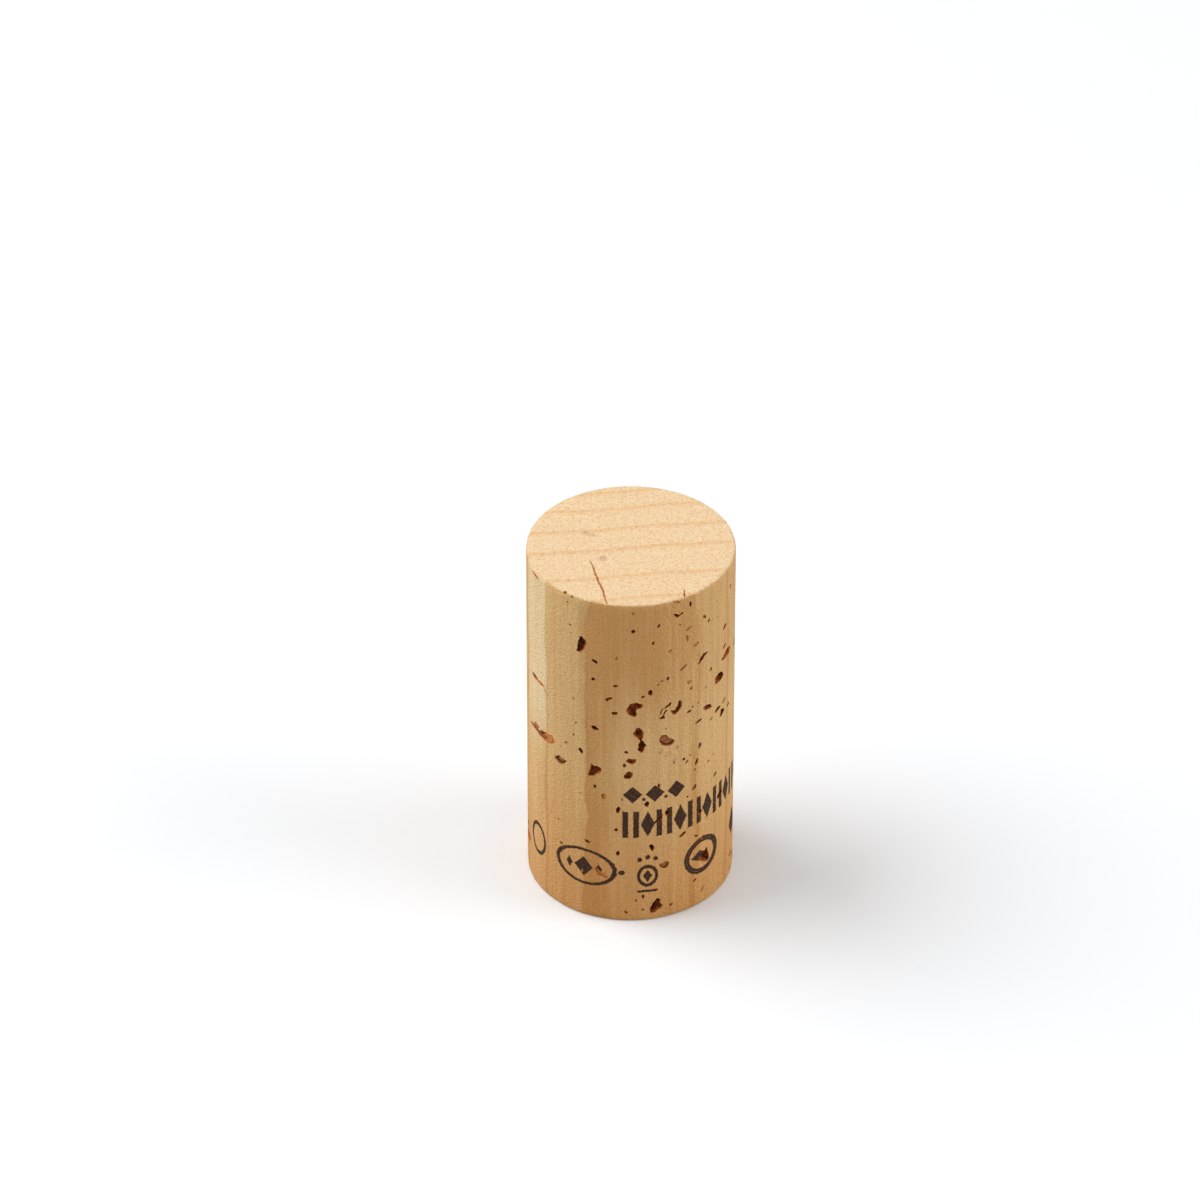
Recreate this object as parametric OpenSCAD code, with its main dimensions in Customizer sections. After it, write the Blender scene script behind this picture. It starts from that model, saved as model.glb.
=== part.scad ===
/* [Body] */
// Diameter of the cork
cork_d = 24; // [20:0.5:32]
// Length of the cork, from foot to top
cork_l = 45; // [36:0.5:60]
// Radius of the slightly worn rim at both ends
rim_r = 0.3; // [0.1:0.05:0.8]

/* [Bark] */
// Turn of the bark's pore channels about the cork's axis, away from straight front to back
grain_turn = 8; // [-20:1:20]
// Depth of every pore against the depths in the lists
pore_depth = 1; // [0.5:0.05:1.5]
// Length of the longest streak, where a channel runs along the wall
streak_l = 5; // [2:0.5:8]
// Width of the narrow throat at the bottom of a pore, as a share of its mouth
throat = 0.6; // [0.3:0.05:0.8]
// Share of a pore's depth that is its wide mouth
mouth = 0.45; // [0.2:0.05:0.7]
// Number of groups of pores on the sides and the back
groups = 14; // [4:1:20]
// Number of pores in each of those groups
group_pores = 5; // [2:1:7]
// Width of the widest pore in those groups
group_w = 1.5; // [0.8:0.1:2]

/* [End cracks] */
// Width of a crack in an end face
crack_w = 0.35; // [0.2:0.05:0.6]
// Depth of a crack in an end face
crack_depth = 0.8; // [0.3:0.1:2]

/* [Hidden] */
cork_r = cork_d / 2;
// How far each cutter starts outside the surface that it cuts
clear = 0.5;
// A pore narrower than this is a plain hole with no throat
small_pore = 0.75;
// Sine of the angle between channel and wall normal past which a pore is a streak
flank = 0.8;
// Step of the facets that round the rims, in degrees
rim_step = 30;
// Sides of a ragged outline: a small one's and a large one's
small_sides = 6;
large_sides = 9;

// Pores on the front, in mm: angle from the front, height as a share of the cork's length,
// width, height of the mouth, lean to the right in degrees, depth
front_pores = [
    // upper third
    [25, 0.955, 0.7, 0.6, 20, 1.2], [33, 0.97, 0.4, 0.6, 20, 0.8], [24, 0.995, 1.0, 0.4, -15, 0.8],
    [-38, 0.985, 0.5, 0.4, 0, 0.6], [-61, 0.99, 0.5, 0.4, 0, 0.8], [71, 0.93, 0.5, 0.5, 0, 0.8],
    [1, 0.92, 0.5, 0.4, 0, 0.6], [12, 0.88, 0.4, 0.4, 0, 0.6], [15, 0.93, 0.4, 0.4, 0, 0.6],
    [-29, 0.855, 1.1, 2.0, 10, 2.2], [-20, 0.82, 0.5, 0.7, -45, 1.0], [-21, 0.76, 0.5, 0.4, 0, 0.8],
    [38, 0.93, 0.4, 0.4, 0, 0.6], [45, 0.915, 0.4, 0.5, 20, 0.8], [63, 0.83, 0.4, 0.5, 0, 0.8],
    [62, 0.775, 0.4, 0.4, 0, 0.8], [64, 0.745, 0.8, 0.8, 15, 1.8], [43, 0.79, 0.4, 1.5, 40, 1.0],
    [57, 0.69, 1.0, 0.8, 20, 2.0], [50, 0.74, 0.4, 0.5, 15, 0.8], [-62, 0.67, 1.0, 0.4, 0, 0.8],
    // the band of large pores
    [-9, 0.75, 0.5, 0.4, 0, 0.8], [-12, 0.705, 0.9, 0.6, 30, 1.0], [-9, 0.66, 0.7, 0.5, 0, 1.0],
    [1, 0.67, 1.3, 1.8, 10, 1.4], [4, 0.69, 1.3, 0.7, 10, 1.0], [11, 0.725, 0.5, 0.6, 0, 0.9],
    [17, 0.655, 0.5, 1.5, 40, 0.8], [20, 0.675, 0.4, 1.3, 40, 0.8], [25, 0.665, 0.8, 1.6, 30, 1.4],
    [33, 0.64, 0.6, 0.4, 15, 0.8], [46, 0.625, 1.0, 0.6, 10, 1.2], [55, 0.59, 0.6, 0.9, 30, 1.0],
    [58, 0.575, 0.5, 1.0, 30, 1.2], [52, 0.56, 0.4, 0.9, 40, 0.6], [40, 0.595, 0.7, 0.4, 30, 0.8],
    [-20, 0.605, 0.8, 0.6, -35, 1.2], [4, 0.605, 1.3, 1.6, 0, 2.0], [6, 0.565, 1.1, 1.7, 15, 2.0],
    [20, 0.57, 1.8, 1.6, 0, 0.5], [-68, 0.51, 0.8, 0.4, 0, 0.9], [-58, 0.51, 1.2, 0.5, -15, 1.0],
    [-49, 0.505, 1.4, 1.1, -20, 0.7], [-29, 0.525, 0.5, 0.7, -20, 0.9], [-3, 0.54, 0.4, 0.4, 0, 0.7],
    [-42, 0.465, 0.8, 0.4, -20, 0.4], [41, 0.52, 0.4, 0.7, 0, 0.5],
    // middle
    [-20, 0.475, 1.5, 1.5, 20, 1.1], [0, 0.515, 1.0, 0.5, 0, 0.9], [-4, 0.5, 0.4, 0.4, 0, 0.5],
    [-1, 0.47, 1.0, 1.0, 20, 1.4], [-20, 0.42, 0.4, 0.4, 0, 0.6], [-15, 0.395, 0.7, 0.8, 0, 0.4],
    [38, 0.39, 0.4, 0.4, 20, 0.6], [13, 0.425, 0.4, 0.4, 0, 0.5], [9, 0.375, 0.7, 0.6, -10, 1.0],
    // lower third
    [-7, 0.35, 0.5, 0.8, 10, 1.0], [-8, 0.29, 0.5, 0.4, 0, 0.8], [16, 0.33, 0.5, 1.2, 40, 0.7],
    [12, 0.235, 0.5, 1.0, 0, 1.3], [30, 0.255, 0.8, 0.6, 30, 1.1], [42, 0.3, 0.5, 0.6, 10, 0.8],
    [59, 0.32, 0.7, 0.8, 20, 1.0], [-24, 0.24, 0.6, 0.4, -30, 0.6], [-7, 0.215, 0.5, 0.4, 0, 0.8],
    [19, 0.18, 1.1, 1.0, 10, 0.4], [45, 0.145, 1.2, 1.3, 15, 0.8], [15, 0.045, 1.4, 2.1, 15, 1.4],
    [8, 0.08, 0.4, 0.5, 0, 0.6], [23, 0.04, 0.5, 0.4, 0, 0.8], [38, 0.085, 0.4, 0.5, 0, 0.7],
    [-2, 0.03, 0.4, 0.4, 0, 0.6],
];

// Cracks in the end faces: place of the middle along x and y as a share of the radius,
// turn from the pore channels in degrees, length as a share of the radius
top_cracks = [[-0.3, -0.63, 5, 0.76], [0.5, -0.8, -8, 0.15]];
foot_cracks = [[0.4, 0.45, -8, 0.7], [-0.5, -0.1, 10, 0.55], [0.05, -0.75, -4, 0.4]];

// Numbers from low to high that belong to the seed and are the same each time
function chance(low, high, count, seed) = rands(low, high, count, seed);

// A closed ragged outline of the given width and height, with one point on each of its sides
function ragged(w, tall, sides, seed) =
    let (reach = chance(0.7, 1.12, sides, seed))
    [for (i = [0 : sides - 1])
        let (a = 360 * i / sides)
        [w / 2 * reach[i] * cos(a), tall / 2 * reach[i] * sin(a)]];

// How far a channel's mouth runs either way along the channel, where the wall crosses it aslant
function half_mouth(angle, w) = min(w / 2 * abs(tan(angle - grain_turn)), streak_l / 2);

// Whether the channels run nearly along the wall at this angle, so that a pore there is a streak
function is_flank(angle) = abs(sin(angle - grain_turn)) > flank;

// One blind channel with a ragged outline, from outside the wall to a flat end at the depth
module channel(w, tall, depth, outside, sides, seed) {
    translate([0, depth, 0])
        rotate([90, 0, 0])
            linear_extrude(depth + outside)
                polygon(ragged(w, tall, sides, seed));
}

// A pore that faces outward: a wide mouth and, if it is a large one, a narrow throat behind it
module facing_pore(w, tall, lean, depth, slant, seed) {
    large = w > small_pore && tall > small_pore;
    sides = large ? large_sides : small_sides;
    rotate([0, lean, 0]) {
        channel(w, tall, slant + depth * (large ? mouth : 1), slant + clear, sides, seed);
        if (large)
            channel(w * throat, tall * throat, slant + depth, slant + clear, small_sides, seed + 1);
    }
}

// A streak: a channel that runs along the wall and opens it lengthwise
module streak(w, tall, angle, seed) {
    length = min(streak_l, w / abs(cos(angle - grain_turn)));
    channel(length, tall, tall * pore_depth, clear, small_sides, seed);
}

// One pore in the wall, of whichever kind its angle makes it
module pore(angle, z, w, tall, lean, depth, seed) {
    translate([cork_r * sin(angle), -cork_r * cos(angle), z])
        if (is_flank(angle))
            rotate([0, 0, angle])
                streak(w, tall, angle, seed);
        else
            rotate([0, 0, grain_turn + (cos(angle) < 0 ? 180 : 0)])
                facing_pore(w, tall, lean, depth * pore_depth, half_mouth(angle, w), seed);
}

// A share from 0 to 1 that spreads evenly over a run of numbers, without repeating
function spread(i, step) = (i * step) % 1;

// Pores that follow no list: they lie in loose groups on the sides and the back, off the front
module grouped_pores() {
    for (g = [0 : groups - 1], k = [0 : group_pores - 1]) {
        i = g * group_pores + k;
        angle = 91 + 178 * spread(g, 0.618) + 30 * (spread(i, 0.755) - 0.5);
        height = 0.1 + 0.8 * spread(g, 0.755) + 0.16 * (spread(i, 0.57) - 0.5);
        width = 0.4 + (group_w - 0.4) * pow(spread(i, 0.341), 3);
        tall = width * (0.6 + 0.8 * spread(i, 0.893));
        lean = 40 * (spread(i, 0.219) - 0.5);
        depth = 0.6 + width * spread(i, 0.473);
        pore(angle, height * cork_l, width, tall, lean, depth, 2000 + 10 * i);
    }
}

// One crack in an end face at z = 0: a thin crooked wedge that runs the way the pores do
module crack(x, y, turn, length, seed) {
    bend = chance(-crack_w, crack_w, 2, seed);
    translate([x * cork_r, y * cork_r, 0])
        rotate([0, 0, 90 + grain_turn + turn])
            translate([0, 0, -crack_depth])
                linear_extrude(crack_depth + clear)
                    polygon([
                        [-length / 2, 0], [-length / 6, bend[0] + crack_w / 2],
                        [length / 6, bend[1] + crack_w / 2], [length / 2, 0],
                        [length / 6, bend[1] - crack_w / 2], [-length / 6, bend[0] - crack_w / 2]
                    ]);
}

// All the cracks of one end, with the end face at z = 0
module cracks(list, seed) {
    for (i = [0 : len(list) - 1])
        crack(list[i][0], list[i][1], list[i][2], list[i][3] * cork_r, seed + i);
}

// A quarter of the rounded rim, as points from one angle to another round its centre at height z
function rim_points(z, from, to) = [
    for (a = [from : rim_step : to]) [cork_r - rim_r + rim_r * sin(a), z - rim_r * cos(a)]
];

// The plain cylinder, with both rims slightly rounded
module blank() {
    rotate_extrude($fn = 96)
        polygon(concat(
            [[0, 0]], rim_points(rim_r, 0, 90), rim_points(cork_l - rim_r, 90, 180), [[0, cork_l]]
        ));
}

module cork_stopper() {
    color("burlywood")
        difference() {
            blank();
            for (i = [0 : len(front_pores) - 1]) {
                p = front_pores[i];
                pore(p[0], p[1] * cork_l, p[2], p[3], p[4], p[5], 10 * i);
            }
            grouped_pores();
            translate([0, 0, cork_l])
                cracks(top_cracks, 4000);
            mirror([0, 0, 1])
                cracks(foot_cracks, 5000);
        }
}

cork_stopper();
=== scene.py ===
import math

import bmesh
import bpy
import numpy as np
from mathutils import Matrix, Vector, noise


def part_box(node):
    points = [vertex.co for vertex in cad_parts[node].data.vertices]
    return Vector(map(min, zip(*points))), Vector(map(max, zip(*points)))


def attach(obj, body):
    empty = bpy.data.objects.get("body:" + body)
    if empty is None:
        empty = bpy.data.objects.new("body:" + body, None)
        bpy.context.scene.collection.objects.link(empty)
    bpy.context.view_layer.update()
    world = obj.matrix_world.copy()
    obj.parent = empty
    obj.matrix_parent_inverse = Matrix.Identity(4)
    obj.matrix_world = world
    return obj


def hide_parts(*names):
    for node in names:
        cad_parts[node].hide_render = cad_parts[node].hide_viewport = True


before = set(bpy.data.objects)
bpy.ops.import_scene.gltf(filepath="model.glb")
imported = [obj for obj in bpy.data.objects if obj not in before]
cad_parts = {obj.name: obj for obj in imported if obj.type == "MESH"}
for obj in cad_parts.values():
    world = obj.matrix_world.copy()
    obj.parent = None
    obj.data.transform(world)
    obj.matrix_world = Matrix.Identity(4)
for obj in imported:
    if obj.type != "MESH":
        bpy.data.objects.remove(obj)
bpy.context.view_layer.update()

# Lengths are millimetres unless said otherwise, and meshes are scaled by MM when they are made. The radius
# and the length are taken from the solid, and RIM is the small round at both ends of its wall.
MM = 0.001
NODE = "cork_stopper"
node_low, node_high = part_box(NODE)
RADIUS = (node_high[0] - node_low[0]) / 2 / MM
LENGTH = (node_high[2] - node_low[2]) / MM
RIM = 0.3

# The bark: pore channels run this many degrees off straight front to back, and growth layers a little
# less.
GRAIN_TURN = 8
LAYER_TURN = 7
# Where each growth layer ends, measured from the axis towards the back.
GROWTH_LINES = (-10.1, -5.75, -0.5, 3.5, 7.5, 10.9)
# The longest streak, where a channel runs along the wall, and where the wall is flank enough for one.
STREAK = 5.0
FLANK = 0.8
# A pore up to the first depth keeps a pale floor, up to the second it shows raw cork, and up to the third
# it is only a faint dent. A deeper pore has a dark lining.
PALE_DEPTH = 0.4
RAW_DEPTH = 0.2
FAINT_DEPTH = 0.15
# How far outside the wall the cutter of a pore starts, and half the size from which a pale pore's floor
# rises to its middle.
OUTSIDE = 0.6
ROOMY = 0.28

# Pores of the front with a shape of their own: angle from the front, height, depth, and the outline
# around the middle, seen along the channel.
SHAPED_PORES = (
    # one with an arm to the right, then two joined at a neck
    (2, 30.4, 1.0, ((-0.3, 0.95), (0.4, 1.0), (0.9, 0.75), (0.9, 0.5), (0.7, 0.2), (0.3, 0.1),
        (0.15, -0.3), (0.25, -0.7), (0.1, -0.95), (-0.2, -0.95), (-0.65, -0.7), (-0.9, -0.25), (-0.9, 0.1),
        (-0.65, 0.6))),
    (4, 27.0, 0.9, ((0, 0.9), (0.3, 0.75), (0.55, 0.3), (0.6, -0.2), (0.5, -0.7), (0.3, -1.0),
        (0.05, -0.75), (-0.35, -0.35), (-0.6, 0.1), (-0.4, 0.35), (-0.25, 0.75))),
    (6, 25.2, 1.8, ((-0.1, 0.9), (0.35, 0.5), (0.55, 0.15), (0.3, -0.25), (0.15, -0.7), (-0.1, -0.85),
        (-0.4, -0.65), (-0.55, -0.4), (-0.4, 0), (-0.35, 0.45))),
    # a wide shallow one, a bent one and the slivers beside it
    (20, 25.6, 0.35, ((-0.25, 0.9), (0.05, 0.6), (0.3, 0.25), (0.75, -0.05), (0.9, -0.4), (0.65, -0.75),
        (0.25, -0.85), (-0.1, -0.75), (-0.55, -0.5), (-0.85, 0), (-0.85, 0.55), (-0.55, 0.85))),
    (25.5, 29.9, 1.0, ((0.25, 0.9), (0.55, 0.85), (0.65, 0.4), (0.6, -0.15), (0.3, -0.55), (-0.05, -0.9),
        (-0.3, -0.9), (-0.6, -0.45), (-0.65, -0.15), (-0.25, -0.25), (0.05, 0.1), (0.25, 0.45))),
    (20.5, 30.5, 0.7, ((0.45, 0.35), (0.4, 0.05), (0.05, -0.2), (-0.35, -0.35), (-0.45, -0.25),
        (-0.1, 0.05), (0.25, 0.35))),
    (17, 29.8, 0.5, ((0.2, 0.45), (0.05, 0.05), (-0.1, -0.4), (-0.2, -0.45), (-0.15, 0), (0.05, 0.4))),
    (19, 29.6, 0.45, ((0.3, 0.3), (0.1, 0), (-0.15, -0.35), (-0.3, -0.3), (-0.1, 0.1), (0.15, 0.35))),
    (17, 29.0, 0.7, ((0.3, 0.15), (0.35, -0.2), (0, -0.3), (-0.35, -0.1), (-0.3, 0), (0, 0.05),
        (0.1, 0.3))),
    (-12, 31.7, 0.7, ((-0.4, -0.15), (-0.25, 0.15), (0.25, 0.35), (0.4, 0.2), (0.05, -0.05),
        (-0.25, -0.35))),
    # below the band of large pores
    (0, 23.1, 0.5, ((-0.6, 0.1), (-0.25, 0.4), (0.1, 0.35), (0.45, 0.35), (0.6, 0.15), (0.4, -0.3),
        (0.05, -0.4), (-0.4, -0.2))),
    (-1.5, 21.1, 0.8, ((-0.5, -0.15), (-0.2, 0.4), (0.15, 0.55), (0.5, 0.25), (0.4, -0.3), (0, -0.55),
        (-0.35, -0.45))),
    (-20, 21.2, 1.1, ((-0.4, 0.95), (-0.1, 0.7), (0.2, 0.8), (0.5, 0.65), (0.7, 0.35), (0.55, -0.15),
        (0.2, -0.4), (-0.1, -0.75), (-0.7, -0.95), (-0.7, -0.6), (-0.55, 0.25))),
    # the long streak on the left flank: its deep end, its wide shallow end, and one below it
    (-65, 22.7, 0.4, ((-0.55, -0.3), (-0.3, 0.12), (-0.05, 0.32), (0.2, 0.22), (0.45, 0.35), (0.65, 0.2),
        (0.6, -0.3), (0.25, -0.38), (0.05, -0.22), (-0.25, -0.3))),
    (-54.5, 22.85, 0.2, ((-0.55, 0.1), (-0.25, 0.45), (0, 0.7), (0.3, 0.8), (0.6, 0.85), (0.72, 0.35),
        (0.5, -0.35), (0.2, -0.55), (-0.15, -0.65), (-0.4, -0.5), (-0.6, -0.4))),
    (-42.5, 21.0, 0.4, ((-0.55, 0), (-0.4, 0.25), (-0.1, 0.55), (0.15, 0.4), (0.55, 0.3), (0.45, -0.1),
        (0.05, -0.55), (-0.25, -0.45), (-0.45, -0.25))),
    # the right side, from the top down
    (26.5, 42.8, 1.0, ((-0.6, 0.25), (-0.25, 0.3), (0.05, 0.05), (0.35, 0.25), (0.6, 0.25), (0.5, 0),
        (0.15, -0.15), (-0.15, -0.3), (-0.4, -0.1))),
    (43, 35.4, 0.8, ((0.65, 0.5), (0.4, 0.25), (0.1, 0.1), (-0.15, -0.3), (-0.55, -0.6), (-0.65, -0.5),
        (-0.35, 0), (-0.1, 0.45), (0.3, 0.6))),
    (65.5, 33.3, 1.1, ((0.65, 0.25), (0.6, -0.15), (0.35, -0.5), (-0.15, -0.45), (-0.55, -0.35),
        (-0.65, -0.05), (-0.3, 0.2), (0.05, 0.5), (0.4, 0.5))),
    (57, 31.0, 1.5, ((0.4, 0.45), (0.6, 0.05), (0.55, -0.4), (0.3, -0.6), (-0.15, -0.6), (-0.5, -0.5),
        (-0.6, -0.15), (-0.5, 0.3), (-0.2, 0.6), (0.2, 0.6))),
    (47, 28.0, 0.9, ((-0.55, 0.25), (-0.2, 0.4), (0.3, 0.2), (0.55, -0.2), (0.4, -0.4), (-0.15, -0.3),
        (-0.5, 0))),
    (56, 26.6, 1.1, ((0.4, 0.15), (0.25, -0.1), (-0.25, -0.3), (-0.4, -0.2), (-0.25, 0.15), (0.05, 0.3))),
    (61, 25.6, 0.8, ((0.25, 0.25), (0.3, -0.1), (0.1, -0.25), (-0.15, -0.55), (-0.3, -0.3), (-0.25, 0.1),
        (-0.15, 0.55))),
    # the tall one at the upper left, and those near the foot
    (-28, 38.6, 1.7, ((0, 1.1), (0.3, 0.9), (0.5, 0.55), (0.45, 0), (0.2, -0.8), (-0.1, -1.1),
        (-0.5, -1.1), (-0.45, -0.55), (-0.3, 0.3), (-0.2, 0.9))),
    (11.5, 10.5, 1.4, ((-0.3, 0.2), (0, 0.55), (0.3, 0.2), (0.3, -0.25), (0.05, -0.55), (-0.15, -0.1))),
    (19, 7.7, 0.3, ((-0.6, 0.25), (-0.05, 0.45), (0.5, 0.4), (0.6, 0), (0.3, -0.4), (-0.05, -0.45),
        (-0.55, -0.15))),
    (45, 6.8, 1.2, ((0.45, 1.0), (0.55, 0.35), (0.75, -0.5), (0.6, -1.0), (0.15, -0.9), (-0.55, -0.35),
        (-0.75, 0.1), (-0.25, 0.35), (0.15, 0.85))),
    (14.5, 2.0, 1.8, ((0.2, 1.05), (0.45, 0.8), (0.5, 0.3), (0.75, -0.1), (0.4, -0.5), (-0.05, -0.8),
        (-0.4, -1.05), (-0.75, -0.85), (-0.7, -0.15), (-0.45, 0.35), (-0.1, 0.9))),
    (-16.5, 6.6, 0.2, ((-0.7, 0.75), (-0.4, 0.6), (-0.1, 0.3), (0.15, 0.15), (0.45, 0.15), (0.6, -0.15),
        (0.8, -0.45), (0.5, -0.6), (0.15, -0.35), (-0.15, -0.3), (-0.4, 0.05), (-0.65, 0.4))),
)

# Plain pores of the front: angle from the front, height, width, length of the long side, how far that
# leans to the right in degrees, depth.
PLAIN_PORES = (
    # upper third
    (25, 44.8, 0.3, 1.2, -50, 0.2), (34, 43.8, 0.3, 0.7, 0, 0.8), (-39, 44.95, 0.35, 0.5, 15, 0.3),
    (-34, 44.8, 0.35, 0.55, 25, 0.15), (-37, 43.8, 0.2, 0.4, 0, 0.15), (-65.6, 44.3, 0.62, 0.34, 5, 0.2),
    (71, 41.9, 0.2, 0.8, 0, 0.15), (1, 43.9, 0.3, 0.5, 0, 0.12), (15, 41.9, 0.35, 0.55, 25, 0.6),
    (1, 41.4, 0.5, 0.55, 60, 0.9), (12, 39.6, 0.3, 0.5, 0, 0.7), (27.5, 41.4, 0.25, 0.4, 0, 0.15),
    (21.5, 38.1, 0.3, 0.7, 60, 0.15), (-8, 37.6, 0.25, 0.6, 10, 0.12), (33, 40.5, 0.35, 0.9, 60, 0.15),
    (32, 39.2, 0.35, 1.0, -5, 0.15), (38, 37.8, 0.45, 0.85, 55, 0.16), (44, 41.1, 0.35, 0.6, -25, 0.3),
    (47.5, 40.2, 0.3, 0.5, 45, 0.3), (63, 37.4, 0.4, 0.7, 35, 1.0), (63, 34.7, 0.35, 0.6, 40, 0.9),
    (49.5, 33.1, 0.25, 0.5, 25, 0.8), (-20, 36.7, 0.35, 0.8, -55, 1.0), (30, 35.3, 0.4, 1.15, 52, 0.15),
    (33.5, 32.9, 0.45, 0.7, 80, 0.16), (35, 31.9, 0.3, 0.45, 25, 0.5), (-35, 40.8, 0.2, 0.3, 0, 0.5),
    (20.5, 34.3, 0.35, 0.5, 20, 0.6), (17, 34.1, 0.2, 0.45, 65, 0.6), (15, 33.7, 0.15, 0.4, 57, 0.3),
    (-8.5, 33.7, 0.35, 0.6, 77, 0.8), (10.5, 32.7, 0.5, 0.8, 0, 1.0), (6.5, 32.2, 0.3, 0.55, 60, 0.45),
    (-64.5, 23.2, 0.4, 0.5, 0, 0.5), (-58, 23.0, 0.4, 0.7, 10, 0.6), (-66.5, 29.95, 0.45, 0.55, 0, 1.2),
    (-60, 29.85, 0.75, 0.45, 0, 0.2), (-54.8, 29.4, 0.08, 1.1, -22, 0.12),
    (-21, 34.2, 0.5, 0.4, 0, 0.7), (-33, 30.6, 0.2, 0.2, 0, 0.4), (-30.5, 31.4, 0.15, 0.15, 0, 0.3),
    (45.5, 31.0, 0.3, 0.35, 40, 0.12),
    # the band of large pores
    (-9, 29.8, 0.45, 0.7, 85, 1.0), (-20, 27.3, 0.5, 0.9, -60, 1.4), (-28.5, 23.6, 0.4, 0.75, -20, 0.8),
    (-3.5, 22.5, 0.4, 0.6, 0, 0.3), (-2.5, 24.4, 0.4, 0.45, 0, 0.9), (33.5, 28.7, 0.35, 0.65, 75, 1.0),
    (40, 26.7, 0.35, 0.9, 75, 1.0), (50, 26.0, 0.2, 0.5, 55, 0.5), (63, 27.0, 0.3, 0.65, 35, 0.8),
    (69, 25.6, 0.3, 0.5, 12, 0.3), (-31.5, 27.3, 0.2, 0.3, 0, 0.5), (-33, 25.5, 0.2, 0.3, 0, 0.5),
    (-38, 23.9, 0.4, 0.45, 0, 0.12), (19.5, 27.3, 0.2, 0.25, 0, 0.5), (40, 29.4, 0.3, 0.3, 0, 0.2),
    (36, 29.2, 0.25, 0.3, 0, 0.25), (41.5, 23.2, 0.4, 0.9, 10, 0.3),
    # middle
    (30.5, 22.2, 0.3, 0.4, 0, 0.7), (32.5, 21.7, 0.25, 0.55, 32, 0.6), (24.5, 22.1, 0.2, 0.3, 0, 0.4),
    (34.5, 22.4, 0.25, 0.3, 0, 0.5), (39, 21.1, 0.3, 0.9, 20, 0.7), (38, 20.1, 0.25, 0.3, 0, 0.3),
    (48, 20.2, 0.2, 0.4, 50, 0.4), (54, 17.6, 0.3, 0.6, 45, 0.9), (-20, 19.0, 0.35, 0.5, 0, 0.6),
    (15.5, 19.3, 0.35, 0.6, 0, 0.5), (-15, 17.8, 0.6, 0.9, 0, 0.18), (37.5, 17.6, 0.6, 0.75, 20, 0.25),
    (9, 16.9, 0.65, 0.75, 0, 1.0), (-7, 16.1, 0.5, 1.0, 10, 1.0), (-8, 13.2, 0.4, 0.5, 0, 0.8),
    (20.5, 15.2, 0.6, 0.7, 0, 0.9), (15.5, 14.4, 0.3, 1.4, 45, 0.7), (41.5, 13.6, 0.5, 0.7, 15, 0.8),
    (59, 14.0, 0.6, 1.0, 30, 1.0), (52.5, 20.7, 0.2, 0.25, 0, 0.15), (-29, 17.5, 0.2, 0.2, 0, 0.12),
    (33, 16.6, 0.25, 0.3, 0, 0.5), (-43.5, 12.3, 0.35, 0.3, 0, 0.1),
    # lower third
    (30, 11.4, 0.4, 0.95, 60, 1.2), (39, 10.4, 0.3, 0.6, -60, 0.8), (44, 9.7, 0.35, 0.6, 55, 0.7),
    (-24.5, 10.8, 0.35, 0.75, -60, 0.6), (-7, 9.8, 0.5, 0.65, 0, 0.8), (-42, 9.1, 0.3, 0.4, 0, 0.3),
    (38.5, 4.0, 0.3, 0.55, 40, 0.35), (23, 1.7, 0.35, 0.5, 60, 0.6), (-2.5, 1.3, 0.3, 0.5, -40, 0.5),
    (7, 3.5, 0.3, 0.7, 0, 0.6), (3, 3.0, 0.25, 0.35, 0, 0.35), (7, 1.6, 0.25, 0.35, 70, 0.35),
    (44, 2.1, 0.3, 1.0, 15, 0.12), (-28, 6.3, 0.3, 0.55, 0, 0.15),
)

# Groups of pores on the sides and the back, by the same rule as the solid's.
GROUPS = 14
GROUP_PORES = 5
GROUP_WIDEST = 1.5
# Very small pores on the sides and the back.
SPECKS = 150

# Cracks in the end faces: middle along x and y as shares of the radius, turn from the channels,
# length as a share of the radius.
TOP_CRACKS = ((-0.3, -0.63, 5, 0.76), (0.5, -0.8, -8, 0.15))
FOOT_CRACKS = ((0.4, 0.45, -8, 0.7), (-0.5, -0.1, 10, 0.55), (0.05, -0.75, -4, 0.4))
CRACK_WIDTH = 0.36
CRACK_DEPTH = 0.15
# How far apart the points along a crack lie, and how far its cutter stands out of the end face.
CRACK_STEP = 0.25
CRACK_LIFT = 0.4

# Faint grey smudges: place of the middle, and radius.
SMUDGES = (
    (3.4, -11.5, 24.25, 0.45), (4.3, -11.2, 23.5, 0.6), (5.3, -10.8, 24.2, 0.4), (5.0, -10.9, 22.4, 0.35),
    (-5.2, 2.3, 45.0, 0.5), (-4.6, 2.0, 45.0, 0.5), (-3.9, 1.8, 45.0, 0.35), (-3.2, -2.7, 45.0, 0.6),
    (9.2, 7.5, 30.0, 0.8), (-8.0, 8.9, 12.0, 0.9),
)

# Fineness of the blank: points around, height of a row of the wall, width of a ring of an end face.
AROUND = 192
ROW = 0.5
RING = 0.6
# Largest distance between two points on a pore's edge, and on its way in.
EDGE_STEP = 0.08
DEPTH_STEP = 0.12
# How far the wall's waves and ripples stand off, how deep its rims are worn, how far up that wear reaches,
# and how far the whole wall is set in, so that no wave stands out of the solid.
WAVE = 0.02
RIPPLE = 0.01
WEAR = 0.06
WEAR_REACH = 0.35
SET_IN = 0.02
# Faces that meet at more than this many degrees keep a sharp edge between them.
SHARP = 38


def srgb(red, green, blue):
    """A colour given as 0 to 255 on screen, as Blender's linear colour."""
    def linear(value):
        value /= 255
        return value / 12.92 if value <= 0.04045 else ((value + 0.055) / 1.055) ** 2.4
    return (linear(red), linear(green), linear(blue), 1.0)


def waver(x, y, z, seed=0):
    """Smooth noise from about -1 to 1, the same for the same place and seed."""
    return noise.noise(Vector((x + 17.3 * seed, y - 9.1 * seed, z + 5.7 * seed)))


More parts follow.
